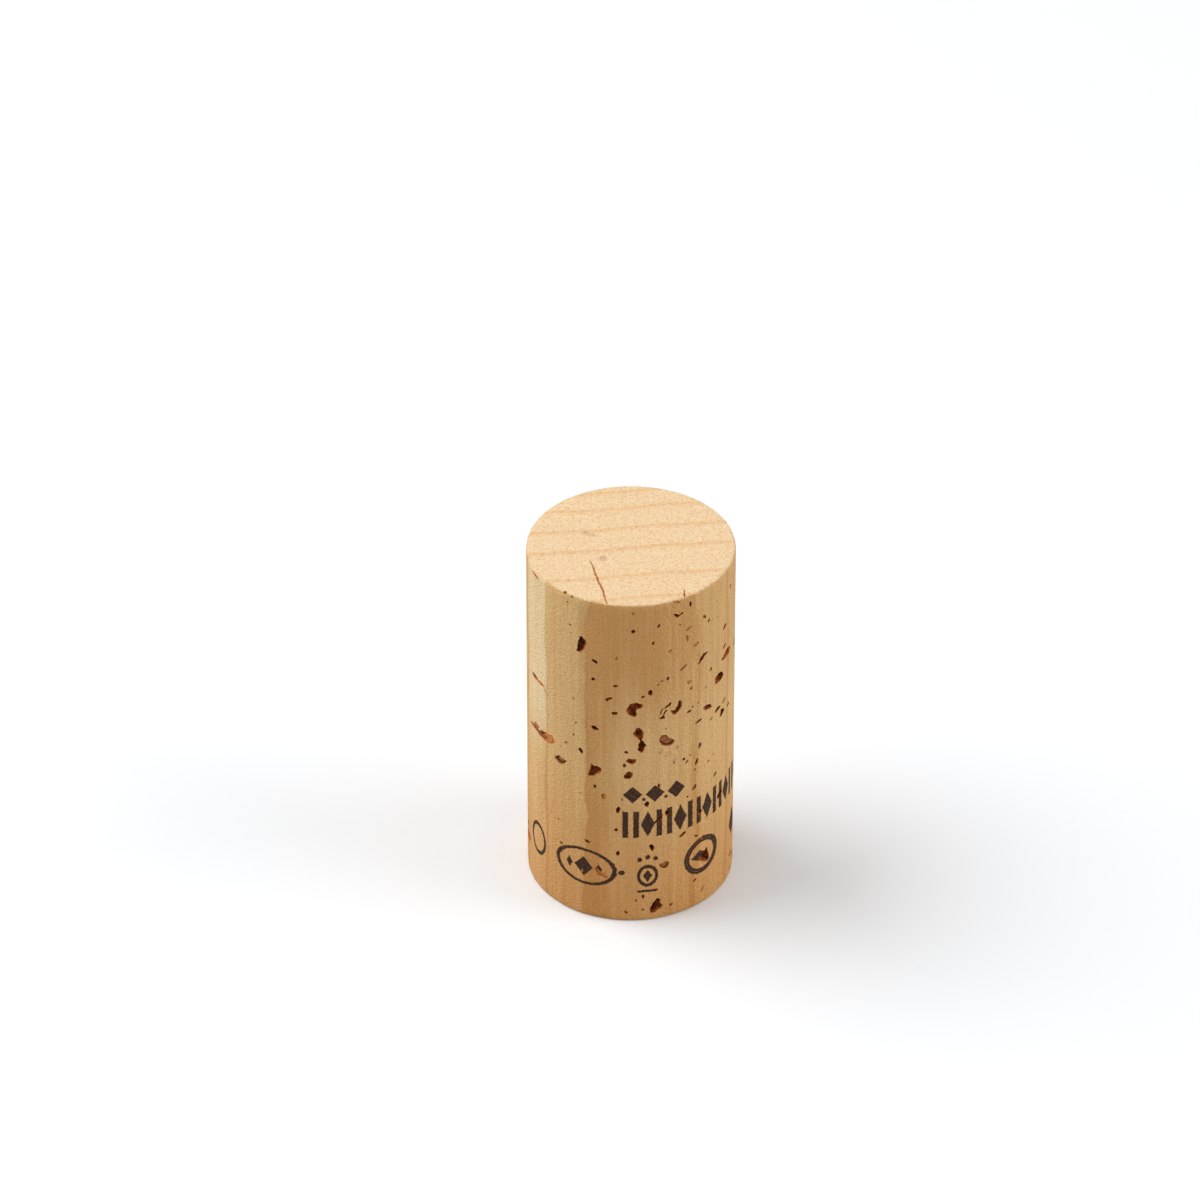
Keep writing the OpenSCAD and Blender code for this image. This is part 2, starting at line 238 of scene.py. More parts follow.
def spread(i, step):
    """A share from 0 to 1 that spreads evenly over a run of numbers."""
    return (i * step) % 1


# Shapes

def wall_offset(angle, z):
    """How far the wall stands off the true cylinder: slight waves and a little wear at the rims."""
    x, y = math.cos(angle), math.sin(angle)
    wave = WAVE * waver(2 * x, 2 * y, z * 0.1, 1) + RIPPLE * waver(6 * x, 6 * y, z * 0.6, 2)
    rim = min(z, LENGTH - z)
    wear = WEAR + WEAR * waver(5 * x, 5 * y, z * 0.2, 3) + 0.05 * waver(18 * x, 18 * y, z, 4)
    return wave - max(wear, 0) * math.exp(-(rim / WEAR_REACH) ** 2) - SET_IN


def blank_rows():
    """Radius and height of each ring of the blank's points, from the foot's middle to the top's."""
    flat = list(np.linspace(0, RADIUS - RIM, round((RADIUS - RIM) / RING) + 1))[1:]
    turns = [math.radians(a) for a in (22.5, 45, 67.5, 90)]
    foot = [(RADIUS - RIM + RIM * math.sin(a), RIM - RIM * math.cos(a)) for a in turns]
    count = round((LENGTH - 2 * RIM) / ROW)
    wall = [(RADIUS, RIM + (LENGTH - 2 * RIM) * i / count) for i in range(1, count)]
    top = [(r, LENGTH - z) for r, z in reversed(foot)]
    return [(r, 0) for r in flat] + foot + wall + top + [(r, LENGTH) for r in reversed(flat)]


def blank():
    """The cork before its pores are cut: points and faces of a closed cylinder."""
    rows = blank_rows()
    points = [(0, 0, 0)]
    for r, z in rows:
        for j in range(AROUND):
            angle = 2 * math.pi * j / AROUND
            reach = r + wall_offset(angle, z) * (r / RADIUS) ** 8
            points.append((reach * math.cos(angle), reach * math.sin(angle), z))
    points.append((0, 0, LENGTH))

    def at(row, j):
        return 1 + row * AROUND + j % AROUND
    faces = [(0, at(0, j + 1), at(0, j)) for j in range(AROUND)]
    for row in range(len(rows) - 1):
        faces += [(at(row, j), at(row, j + 1), at(row + 1, j + 1), at(row + 1, j)) for j in range(AROUND)]
    last = len(rows) - 1
    faces += [(at(last, j), at(last, j + 1), len(points) - 1) for j in range(AROUND)]
    return points, faces


class Batch:
    """Closed shapes that are cut out of the blank together. No two of them touch."""

    def __init__(self):
        self.points, self.faces, self.slots, self.boxes = [], [], [], []

    def has_room(self, low, high):
        """Whether a shape between these two corners is clear of all the others."""
        return all(np.any(low >= other[1]) or np.any(high <= other[0]) for other in self.boxes)

    def tube(self, rings, slot):
        """Adds a closed tube through rings of points, all with as many points."""
        first, count, rows = len(self.points), len(rings[0]), len(rings) - 1
        for ring in rings:
            self.points += ring
        made = [tuple(range(first, first + count))]
        made.append(tuple(range(first + rows * count, first + (rows + 1) * count))[::-1])
        for k in range(rows):
            a, b = first + k * count, first + (k + 1) * count
            for j in range(count):
                n = (j + 1) % count
                made.append((a + j, a + n, b + n, b + j))
        self.faces += made
        self.slots += [slot] * len(made)


class Cutters:
    """All the closed shapes that are cut out of the blank, shared out over as few batches as they need."""

    def __init__(self):
        self.batches = []

    def tube(self, rings, slot):
        """Adds a closed tube to the first batch that has room for it."""
        box = np.min(rings, (0, 1)), np.max(rings, (0, 1))
        batch = next((batch for batch in self.batches if batch.has_room(*box)), None)
        if batch is None:
            batch = Batch()
            self.batches.append(batch)
        batch.boxes.append(box)
        batch.tube(rings, slot)


def oval(width, tall, lean, seed):
    """The outline of a plain pore: an uneven oval whose long side leans to the right."""
    count = int(min(max((width + tall) * 1.6 / EDGE_STEP, 10), 64))
    cos, sin = math.cos(math.radians(lean)), math.sin(math.radians(lean))
    outline = []
    for j in range(count):
        a = 2 * math.pi * j / count
        x, z = math.cos(a), math.sin(a)
        reach = 1 + 0.28 * waver(1.1 * x, 1.1 * z, 0, seed) + 0.12 * waver(2.7 * x, 2.7 * z, 0, seed + 0.5)
        x, z = width / 2 * x * reach, tall / 2 * z * reach
        outline.append((x * cos + z * sin, z * cos - x * sin))
    return outline


def curve(corners):
    """A smooth closed outline through the given corners."""
    outline = []
    for i in range(len(corners)):
        p0, p1, p2, p3 = (np.array(corners[(i + k) % len(corners)]) for k in (-1, 0, 1, 2))
        steps = max(int(np.hypot(*(p2 - p1)) / EDGE_STEP), 2)
        for k in range(steps):
            t = k / steps
            bend = 2 * p1 + (p2 - p0) * t + (2 * p0 - 5 * p1 + 4 * p2 - p3) * t ** 2
            bend = bend + (3 * p1 - p0 - 3 * p2 + p3) * t ** 3
            outline.append(tuple(bend / 2))
    return outline


def bowl(inner):
    """How far in each ring of a deep pit lies, and how much narrower it is than the mouth."""
    steps = int(min(max(inner / DEPTH_STEP, 4), 14))
    return [(inner * k / steps, math.sqrt(max(1 - (k / steps) ** 2.4, 0.03))) for k in range(steps + 1)]


def moat(inner):
    """The same for a shallow pit: deepest just inside its edge, with a floor that rises to the middle."""
    return [
        (0, 1), (0.5 * inner, 0.99), (inner, 0.95), (inner, 0.88), (0.72 * inner, 0.74),
        (0.6 * inner, 0.5), (0.55 * inner, 0.2)
    ]


def pit_rings(origin, turn, outline, profile, outer, seed):
    """Rings of points through one blind pit, from outside the wall to its closed end inside. The pit's
    sides are rough, and it drifts a little to one side as it narrows."""
    across = Vector((math.cos(turn), math.sin(turn), 0))
    along = Vector((-math.sin(turn), math.cos(turn), 0))
    size = min(max(abs(x) for x, z in outline), max(abs(z) for x, z in outline))
    rough = min(0.12, 0.25 * size)
    inner = max(s for s, taper in profile)
    rings = []
    for s, taper in [(-outer, 1), (-0.1, 1)] + profile:
        share = max(s, 0) / inner * (1 - taper ** 2)
        drift_x = 0.5 * size * share * waver(0.8 * s, 0, 0, seed + 0.31)
        drift_z = 0.5 * size * share * waver(0, 0.8 * s, 0, seed + 0.67)
        ring = []
        for x, z in outline:
            right = taper * (x + rough * waver(3.5 * x, 3.5 * z, 2.5 * s, seed + 0.9)) + drift_x
            up = taper * (z + rough * waver(3.5 * x, 3.5 * z, 2.5 * s, seed + 0.4)) + drift_z
            ring.append(tuple(origin + across * right + along * s + Vector((0, 0, up))))
        rings.append(ring)
    return rings


def lining_of(depth):
    """Which of the cork's materials a pore of that depth is lined with."""
    if depth > PALE_DEPTH:
        return 1
    if depth > RAW_DEPTH:
        return 2
    return 3 if depth > FAINT_DEPTH else 4


def add_pore(cutters, angle, z, outline, depth, seed):
    """One pore in the wall. It follows its channel, or is cut straight in where it is shallow or where
    the channel runs along the wall and the pore shows as a streak."""
    turn = math.radians(angle)
    off_channel = math.radians(angle - GRAIN_TURN)
    origin = Vector((RADIUS * math.sin(turn), -RADIUS * math.cos(turn), z))
    half = max(abs(x) for x, up in outline)
    tall = max(abs(up) for x, up in outline)
    pale = depth <= PALE_DEPTH
    if pale or abs(math.sin(off_channel)) > FLANK:
        longer = min(1 / abs(math.cos(off_channel)), STREAK / 2 / half)
        outline = [(x * longer, up) for x, up in outline]
        sunk = RADIUS - math.sqrt(RADIUS ** 2 - (half * longer) ** 2)
        roomy = min(half, tall) > ROOMY
        profile = moat(depth + 0.3 * sunk) if pale and roomy else bowl(depth + 0.4 * sunk)
        rings = pit_rings(origin, turn, outline, profile, OUTSIDE, seed)
    else:
        behind = math.pi if math.cos(turn) < 0 else 0
        slant = min(half * abs(math.tan(off_channel)), STREAK / 2)
        heading = math.radians(GRAIN_TURN) + behind
        rings = pit_rings(origin, heading, outline, bowl(slant + depth), slant + OUTSIDE, seed)
    cutters.tube(rings, lining_of(depth))


def grouped_pores():
    """Angle, height, width, mouth height, lean and depth of each pore on the sides and the back."""
    for group in range(GROUPS):
        for k in range(GROUP_PORES):
            i = group * GROUP_PORES + k
            angle = 91 + 178 * spread(group, 0.618) + 30 * (spread(i, 0.755) - 0.5)
            height = 0.1 + 0.8 * spread(group, 0.755) + 0.16 * (spread(i, 0.57) - 0.5)
            width = 0.4 + (GROUP_WIDEST - 0.4) * spread(i, 0.341) ** 3
            tall = width * (0.6 + 0.8 * spread(i, 0.893))
            lean = 40 * (spread(i, 0.219) - 0.5)
            yield angle, height * LENGTH, width, tall, lean, 0.6 + width * spread(i, 0.473)


def specks():
    """The same values for each of the very small pores."""
    for i in range(SPECKS):
        width = 0.16 + 0.2 * spread(i, 0.477) ** 2
        angle = 95 + 170 * spread(i, 0.618) + 7 * waver(i, 0, 0)
        height = LENGTH * (0.02 + 0.96 * spread(i, 0.7549))
        tall = width * (0.8 + 1.2 * spread(i, 0.33))
        yield angle, height, width, tall, 80 * (spread(i, 0.21) - 0.5), 0.2 + 0.5 * spread(i, 0.71)


def add_crack(cutters, x, y, turn, length, z, outward, seed):
    """One crooked crack in the end face at height z, widest in its middle."""
    heading = math.radians(90 + GRAIN_TURN + turn)
    along = Vector((math.cos(heading), math.sin(heading), 0))
    side = Vector((-along.y, along.x, 0))
    middle = Vector((x * RADIUS, y * RADIUS, z))
    count = max(int(length * RADIUS / CRACK_STEP), 6)
    lift = Vector((0, 0, CRACK_LIFT * outward))
    rings = []
    for k in range(count + 1):
        share = k / count
        s = (share - 0.5) * length * RADIUS
        bulge = max(1 - (2 * share - 1) ** 2, 0.01) ** 0.5
        half = CRACK_WIDTH / 2 * bulge * (0.75 + 0.6 * waver(2.5 * s, 0, 0, seed)) + 0.01
        sway = 0.16 * waver(0.6 * s, 0, 0, seed + 0.3) + 0.06 * waver(3 * s, 0, 0, seed + 0.6)
        place = middle + along * s + side * sway
        deep = Vector((0, 0, CRACK_DEPTH * (0.3 + 0.7 * bulge) * outward))
        left, right = place + side * half, place - side * half
        rings.append([tuple(p) for p in (left + lift, left, place - deep, right, right + lift)])
    cutters.tube(rings, lining_of(CRACK_DEPTH))


def all_cutters():
    """Every pore and crack of the cork. The last number of each is the seed of its roughness."""
    cutters = Cutters()
    for i, (angle, z, depth, corners) in enumerate(SHAPED_PORES):
        add_pore(cutters, angle, z, curve(corners), depth, 500 + i)
    ovals = list(PLAIN_PORES) + list(grouped_pores()) + list(specks())
    for i, (angle, z, width, tall, lean, depth) in enumerate(ovals):
        add_pore(cutters, angle, z, oval(width, tall, lean, i), depth, i)
    for i, crack in enumerate(TOP_CRACKS):
        add_crack(cutters, *crack, LENGTH, 1, 700 + i)
    for i, crack in enumerate(FOOT_CRACKS):
        add_crack(cutters, *crack, 0, -1, 720 + i)
    return cutters


def to_object(name, points, faces, slots=None, materials=()):
    """A mesh object from points in millimetres, with its faces turned outward."""
    mesh = bpy.data.meshes.new(name)
    mesh.from_pydata([tuple(c * MM for c in p) for p in points], [], faces)
    for material in materials:
        mesh.materials.append(material)
    if slots:
        mesh.polygons.foreach_set("material_index", slots)
    edit = bmesh.new()
    edit.from_mesh(mesh)
    bmesh.ops.recalc_face_normals(edit, faces=edit.faces)
    edit.to_mesh(mesh)
    edit.free()
    made = bpy.data.objects.new(name, mesh)
    bpy.context.scene.collection.objects.link(made)
    return made


def carve(body, cutter):
    """Cuts the cutter out of the body's mesh and removes it."""
    cut = body.modifiers.new("carve", "BOOLEAN")
    cut.operation = "DIFFERENCE"
    cut.solver = "MANIFOLD"
    cut.material_mode = "INDEX"
    cut.object = cutter
    done = bpy.data.meshes.new_from_object(body.evaluated_get(bpy.context.evaluated_depsgraph_get()))
    body.modifiers.remove(cut)
    old = body.data
    body.data = done
    done.name = body.name
    bpy.data.meshes.remove(old)
    bpy.data.objects.remove(cutter)


def drop_crumbs(mesh):
    """Removes loose crumbs that are left where pores meet. Only the largest connected part stays."""
    edit = bmesh.new()
    edit.from_mesh(mesh)
    left, parts = set(edit.faces), []
    while left:
        stack = [left.pop()]
        part = list(stack)
        while stack:
            near = {face for edge in stack.pop().edges for face in edge.link_faces} & left
            left -= near
            stack += near
            part += near
        parts.append(part)
    for crumb in sorted(parts, key=len)[:-1]:
        bmesh.ops.delete(edit, geom=crumb, context="FACES")
    edit.to_mesh(mesh)
    edit.free()


def make_cork(materials):
    """The cork, with all its pores and cracks cut into it."""
    points, faces = blank()
    cork = to_object("cork", points, faces, materials=materials)
    for batch in all_cutters().batches:
        carve(cork, to_object("cutters", batch.points, batch.faces, batch.slots, materials))
    drop_crumbs(cork.data)
    cork.data.shade_smooth()
    cork.data.set_sharp_from_angle(angle=math.radians(SHARP))
    return cork


# Materials

class Board:
    """A node tree that is filled by calls. Most of them give back the socket that they made."""

    def __init__(self, tree):
        self.tree = tree

    def feed(self, socket, value):
        """Links another socket to this one, or sets it to a constant."""
        if isinstance(value, bpy.types.NodeSocket):
            self.tree.links.new(value, socket)
        else:
            socket.default_value = value

    def put(self, kind, inputs=(), **settings):
        """A new node with these settings, and its inputs fed by name or by number."""
        node = self.tree.nodes.new("ShaderNode" + kind)
        for name, value in settings.items():
            setattr(node, name, value)
        for key, value in dict(inputs).items():
            self.feed(node.inputs[key], value)
        return node

    def group(self, tree, inputs):
        """The outputs of a shared group that is placed here with these inputs."""
        return self.put("Group", inputs, node_tree=tree).outputs

    def math(self, operation, *values, clamp=False):
        return self.put("Math", dict(enumerate(values)), operation=operation, use_clamp=clamp).outputs[0]

    def vector_math(self, operation, *values):
        """The outputs of a sum on vectors: Vector and Value."""
        return self.put("VectorMath", dict(enumerate(values)), operation=operation).outputs

    def scaled(self, vector, x, y, z):
        return self.vector_math("MULTIPLY", vector, (x, y, z))["Vector"]

    def swing(self, value, amount, base, clamp=False):
        """base plus amount times how far a 0 to 1 noise lies from its middle."""
        return self.math("MULTIPLY_ADD", self.math("SUBTRACT", value, 0.5), amount, base, clamp=clamp)

    def between(self, value, start, end, low=0.0, high=1.0):
        """low at start, high at end, and smooth in between."""
        inputs = {"Value": value, "From Min": start, "From Max": end, "To Min": low, "To Max": high}
        return self.put("MapRange", inputs, interpolation_type="SMOOTHSTEP").outputs["Result"]

    def noise(self, vector, x, y, z, detail=2.0, rough=0.5):
        """Noise with x, y and z waves a millimetre."""
        place = self.scaled(vector, x, y, z)
        inputs = {"Vector": place, "Scale": 1.0, "Detail": detail, "Roughness": rough}
        return self.put("TexNoise", inputs).outputs["Fac"]

    def mix(self, share, first, second, blend="MIX"):
        """The first colour blended with that share of the second."""
        inputs = {0: share, 6: first, 7: second}
        return self.put("Mix", inputs, data_type="RGBA", blend_type=blend).outputs[2]

    def ramp(self, value, stops):
        """A colour ramp through (place, colour) stops."""
        node = self.put("ValToRGB", {"Fac": value})
        elements = node.color_ramp.elements
        while len(elements) < len(stops):
            elements.new(0.5)
        for element, (place, colour) in zip(elements, stops):
            element.position = place
            element.color = colour
        return node.outputs["Color"]


def new_group(name, inputs, outputs):
    """An empty node group: its board, its inputs by name, and the sockets its outputs are fed to."""
    tree = bpy.data.node_groups.new(name, "ShaderNodeTree")
    kinds = {"vector": "NodeSocketVector", "value": "NodeSocketFloat", "colour": "NodeSocketColor"}
    for socket, kind in inputs.items():
        tree.interface.new_socket(socket, in_out="INPUT", socket_type=kinds[kind])
    for socket, kind in outputs.items():
        tree.interface.new_socket(socket, in_out="OUTPUT", socket_type=kinds[kind])
    board = Board(tree)
    entry = tree.nodes.new("NodeGroupInput")
    leave = tree.nodes.new("NodeGroupOutput")
    return board, entry.outputs, leave.inputs


BLACK = (0.0, 0.0, 0.0, 1.0)
WHITE = (1.0, 1.0, 1.0, 1.0)
# The end faces and their dotted lines.
END = srgb(235, 208, 169)
END_LINE = srgb(218, 166, 104)
# The growth layers on the wall, and the tone that they share where they grow alike. They are more
# saturated than the end faces: partly the wall's own tone, partly painted warm bounce light.
CREAM = srgb(242, 215, 168)
MIDDLE = srgb(230, 190, 131)
MIDDLE_DEEP = srgb(220, 176, 116)
FRONT = srgb(238, 194, 135)
EVEN = srgb(234, 193, 134)
FLECK = srgb(120, 72, 40)
INK = srgb(56, 28, 10)
# What the cork's colour is multiplied by where it is deepest, where painted shade darkens the foot, and in
# a smudge.
DEEPER = (0.76, 0.62, 0.46, 1.0)
FOOT_SHADE = (1.0, 0.86, 0.72, 1.0)
SMUDGE = (0.58, 0.48, 0.42, 1.0)
# The insides of pores. Each has a rim, two tones below it, and the tone of its lowest places.
DEEP_LINING = (srgb(205, 125, 62), srgb(198, 116, 54), srgb(108, 48, 17), srgb(108, 48, 17))
PALE_LINING = (srgb(188, 118, 66), srgb(200, 132, 76), srgb(152, 92, 48), srgb(116, 56, 20))
RAW_LINING = (srgb(216, 146, 88), srgb(226, 154, 88), srgb(186, 110, 54), srgb(160, 84, 38))
FAINT_LINING = (srgb(206, 148, 96), srgb(208, 144, 90), srgb(172, 110, 62), srgb(158, 98, 52))

# The wall's colour through the growth layers, from front to back, at places measured as GROWTH_LINES are.
LAYER_COLOURS = (
    (-12.0, FRONT), (-10.25, FRONT), (-10.0, MIDDLE_DEEP), (-9.4, MIDDLE), (-6.2, MIDDLE),
    (-5.6, CREAM), (-1.6, CREAM), (-0.7, MIDDLE_DEEP), (-0.1, MIDDLE), (2.4, MIDDLE), (3.2, MIDDLE_DEEP),
    (3.9, CREAM), (6.6, CREAM), (7.2, MIDDLE_DEEP), (7.9, MIDDLE), (10.6, MIDDLE), (10.9, FRONT)
)
# The outermost layers, and the stripe at their inner ends, at such places too.
OUTERMOST = ((-10.4, WHITE), (-10.0, BLACK), (10.6, BLACK), (11.0, WHITE))
STRIPE = (
    (-11.8, BLACK), (-10.8, WHITE), (-10.1, WHITE), (-9.95, BLACK), (10.5, BLACK), (10.8, WHITE),
    (11.3, BLACK)
)
# How the end of a layer shows, softly on an end face and as a thin line on the wall, at places measured
# from where the layer ends.
SOFT_LINE = ((-0.8, BLACK), (-0.15, WHITE), (0.05, WHITE), (0.3, BLACK))
THIN_LINE = ((-0.45, BLACK), (-0.2, WHITE), (0.0, WHITE), (0.2, BLACK))

# How high the grain's relief and a pore's crumbs stand, in metres.
RELIEF = 0.0003


def bark_frame_group():
    """Places on the object as millimetres across the channels, along them, and up."""
    board, given, out = new_group("bark frame", {"Place": "vector"}, {
        "Bark": "vector", "Upright": "vector"
    })
    upright = board.scaled(given["Place"], 1 / MM, 1 / MM, 1 / MM)
    turned = board.put("VectorRotate", {"Vector": upright, "Angle": math.radians(-GRAIN_TURN)},
                       rotation_type="Z_AXIS")
    board.feed(out["Bark"], turned.outputs[0])
    board.feed(out["Upright"], upright)
    return board.tree


def growth_group():
    """Growth layers: the wall's colour in each layer, the soft and the thin line at the end of a layer,
    which places brown towards the top, and the dark stripe at the inner end of the outermost layers.
    Towards +x the layers' colours grow alike."""
    board, given, out = new_group("growth layers", {"Bark": "vector"}, {
        "Layer": "colour", "Line": "value", "Edge": "value", "Brown": "value", "Stripe": "value"
    })
    bark = given["Bark"]
    parts = board.put("SeparateXYZ", {"Vector": bark})
    lean = math.tan(math.radians(GRAIN_TURN - LAYER_TURN))
    depth = board.math("MULTIPLY_ADD", parts.outputs["X"], lean, parts.outputs["Y"])
    depth = board.swing(board.noise(bark, 0.12, 0.05, 0.13), 1.3, depth)
    depth = board.swing(board.noise(bark, 0.9, 0.9, 0.25, 3.0), 0.4, depth)
    span = RADIUS + 1
    share = board.math("MULTIPLY_ADD", depth, 0.5 / span, 0.5)

    def through(stops):
        """The colour at a place, from stops that are given in millimetres."""
        return board.ramp(share, [((q + span) / (2 * span), colour) for q, colour in stops])

    def at_lines(profile):
        return through([(q + away, colour) for q in GROWTH_LINES for away, colour in profile])
    alike = board.between(parts.outputs["X"], -2.0, 9.5, 0.0, 0.9)
    board.feed(out["Layer"], board.mix(alike, through(LAYER_COLOURS), EVEN))
    board.feed(out["Line"], at_lines(SOFT_LINE))
    board.feed(out["Edge"], at_lines(THIN_LINE))
    outermost = board.math("MULTIPLY", through(OUTERMOST), board.math("MULTIPLY_ADD", alike, -0.45, 1.0))
    board.feed(out["Brown"], board.math("MAXIMUM", outermost, board.math("MULTIPLY", alike, 0.55)))
    fading = board.math("MULTIPLY_ADD", alike, -1.3, 1.0)
    board.feed(out["Stripe"], board.math("MULTIPLY", through(STRIPE), fading))
    return board.tree


def cells_group():
    """The fine grain of the cork's cells, as a value around 0.5."""
    board, given, out = new_group("cork cells", {"Bark": "vector"}, {"Grain": "value"})
    bark = given["Bark"]
    coarse = board.noise(bark, 3.2, 3.2, 2.6, 1.0, 0.5)
    fine = board.noise(bark, 6.5, 6.5, 5.5, 1.0, 0.5)
    board.feed(out["Grain"], board.math("MULTIPLY_ADD", fine, 0.5, board.math("MULTIPLY", coarse, 0.5)))
    return board.tree


def flecks_group():
    """Small dark flecks drawn out along the pore channels."""
    board, given, out = new_group("lenticel flecks", {
        "Bark": "vector", "Share": "value"
    }, {"Fleck": "value"})
    wobble = board.put("TexNoise", {"Vector": given["Bark"], "Scale": 1.4, "Detail": 2.0}).outputs["Color"]
    bent = board.vector_math("ADD", given["Bark"], board.scaled(wobble, 0.5, 0.5, 0.5))["Vector"]
    cell = board.put("TexVoronoi", {"Vector": board.scaled(bent, 1.0, 0.16, 1.0), "Scale": 1.0})
    chosen = board.put("SeparateColor", {"Color": cell.outputs["Color"]})
    here = board.math("LESS_THAN", chosen.outputs["Red"], given["Share"])
    size = board.math("MULTIPLY_ADD", chosen.outputs["Green"], 0.16, 0.04)
    near = board.math("SUBTRACT", size, cell.outputs["Distance"])
    board.feed(out["Fleck"], board.math("MULTIPLY", board.between(near, 0.0, 0.08), here))
    return board.tree


def skin_group():
    """How deep a place lies below the cork's skin, and which places are on an end face."""
    board, given, out = new_group("place on the cork", {"Upright": "vector"}, {
        "Depth": "value", "End": "value"
    })
    parts = board.put("SeparateXYZ", {"Vector": given["Upright"]})
    from_axis = board.vector_math("LENGTH", board.scaled(given["Upright"], 1, 1, 0))["Value"]
    from_wall = board.math("SUBTRACT", RADIUS - SET_IN, from_axis)
    from_top = board.math("SUBTRACT", LENGTH, parts.outputs["Z"])
    from_end = board.math("MINIMUM", from_top, parts.outputs["Z"])
    board.feed(out["Depth"], board.math("MINIMUM", from_wall, from_end))
    board.feed(out["End"], board.between(from_end, 0.04, 0.22, 1.0, 0.0))
    return board.tree


# The printed band, plain shapes in dark ink. Each row starts with the middle and half the width of the
# arc that it covers, and the angle after which its shapes come again, all in degrees. A shape has a kind,
# the angle and the height of its middle, half its width, and half its height.
PRINTED_ROWS = (
    (13, 18, 12.5, (("lozenge", 1, 18.3, 1.15, 1.2), ("dot", 7.25, 17.6, 0.22, 0.22))),
    (47.5, 52.5, 19, (
        ("bar", -3, 14.0, 0.34, 1.9), ("bar", 3, 14.0, 0.34, 1.9), ("lozenge", 9.5, 14.0, 0.85, 1.9)
    )),
    (0, 181, 180, (
        ("ring", -26.5, 7.1, 4.0, 2.6), ("lozenge", -27, 7.1, 1.2, 1.4), ("lozenge", -36, 7.1, 0.45, 0.8),
        ("lozenge", -18, 7.1, 0.45, 0.8), ("dot", -5, 7.0, 0.4, 0.35), ("dot", 5, 8.9, 0.3, 0.35),
        ("dot", 9.5, 9.2, 0.3, 0.35), ("dot", 14, 8.9, 0.3, 0.35), ("ring", 9.5, 6.5, 1.25, 1.6),
        ("lozenge", 9.5, 6.5, 0.55, 0.9), ("bar", 9.5, 4.3, 1.2, 0.18), ("ring", 44, 7.2, 2.7, 2.6),
        ("ring", 44, 7.2, 2.35, 2.25), ("lozenge", 42, 7.2, 1.3, 0.8), ("lozenge", 79, 7.4, 1.3, 2.1),
        ("dot", 99, 6.7, 0.4, 0.35), ("ring", 117, 7.2, 1.7, 2.3)
    )),
)
# Half the width of a ring's line.
STROKE = 0.2


def mark_group(kind):
    """One kind of printed shape: how far inside its ink a place lies, in millimetres."""
    board, given, out = new_group("printed " + kind, {
        "Around": "value", "Up": "value", "Middle": "value", "Height": "value",
        "Half width": "value", "Half height": "value", "Half repeat": "value"
    }, {"Inside": "value"})
    offset = board.math("SUBTRACT", given["Around"], given["Middle"])
    back = board.math("MULTIPLY", given["Half repeat"], -1)
    aside = board.math("ABSOLUTE", board.math("WRAP", offset, given["Half repeat"], back))
    above = board.math("ABSOLUTE", board.math("SUBTRACT", given["Up"], given["Height"]))
    wide = board.math("DIVIDE", aside, given["Half width"])
    tall = board.math("DIVIDE", above, given["Half height"])
    smaller = board.math("MINIMUM", given["Half width"], given["Half height"])
    if kind == "bar":
        from_side = board.math("SUBTRACT", given["Half width"], aside)
        inside = board.math("MINIMUM", from_side, board.math("SUBTRACT", given["Half height"], above))
    elif kind == "lozenge":
        reach = board.math("SUBTRACT", 1.0, board.math("ADD", wide, tall))
        inside = board.math("MULTIPLY", board.math("MULTIPLY", reach, smaller), 0.9)
    else:
        squares = board.math("ADD", board.math("MULTIPLY", wide, wide), board.math("MULTIPLY", tall, tall))
        inside = board.math("MULTIPLY", board.math("SUBTRACT", 1.0, board.math("SQRT", squares)), smaller)
        if kind == "ring":
            from_stroke = board.math("ABSOLUTE", board.math("SUBTRACT", inside, STROKE))
            inside = board.math("SUBTRACT", STROKE, from_stroke)
    board.feed(out["Inside"], inside)
    return board.tree


def ink_group():
    """The whole printed band as one mask, with edges that bled a little into the cork."""
    board, given, out = new_group("printed band", {"Upright": "vector"}, {"Ink": "value"})
    kinds = {kind: mark_group(kind) for kind in ("bar", "lozenge", "ring", "dot")}
    parts = board.put("SeparateXYZ", {"Vector": given["Upright"]})
    front = board.math("MULTIPLY", parts.outputs["Y"], -1)
    around = board.math("MULTIPLY", board.math("ARCTAN2", parts.outputs["X"], front), RADIUS)
    half_turn = math.pi * RADIUS
    ink = -1.0
    for middle, half_arc, repeat, marks in PRINTED_ROWS:
        row = -1.0
        for kind, angle, height, half_width, half_height in marks:
            shape = board.group(kinds[kind], {
                "Around": around, "Up": parts.outputs["Z"], "Middle": math.radians(angle) * RADIUS,
                "Height": height, "Half width": half_width, "Half height": half_height,
                "Half repeat": math.radians(repeat) * RADIUS / 2
            })
            row = board.math("MAXIMUM", row, shape["Inside"])
        offset = board.math("SUBTRACT", around, math.radians(middle) * RADIUS)
        offset = board.math("ABSOLUTE", board.math("WRAP", offset, half_turn, -half_turn))
        row = board.math("MINIMUM", row, board.math("SUBTRACT", math.radians(half_arc) * RADIUS, offset))
        ink = board.math("MAXIMUM", ink, row)
    ink = board.swing(board.noise(given["Upright"], 3.0, 3.0, 3.0, 3.0, 0.7), 0.3, ink)
    board.feed(out["Ink"], board.between(ink, -0.05, 0.06))
    return board.tree


def smudge_group():
    """Faint smudges with soft, broken edges, as a mask."""
    board, given, out = new_group("smudges", {"Upright": "vector"}, {"Smudge": "value"})
    smudge = 0.0
    for x, y, z, radius in SMUDGES:
        away = board.vector_math("DISTANCE", given["Upright"], (x, y, z))["Value"]
        one = board.between(away, 0.3 * radius, 1.2 * radius, 1.0, 0.0)
        smudge = board.math("MAXIMUM", smudge, one)
    broken = board.between(board.noise(given["Upright"], 1.5, 1.5, 1.5, 2.0, 0.5), 0.3, 0.6)
    board.feed(out["Smudge"], board.math("MULTIPLY", smudge, broken))
    return board.tree


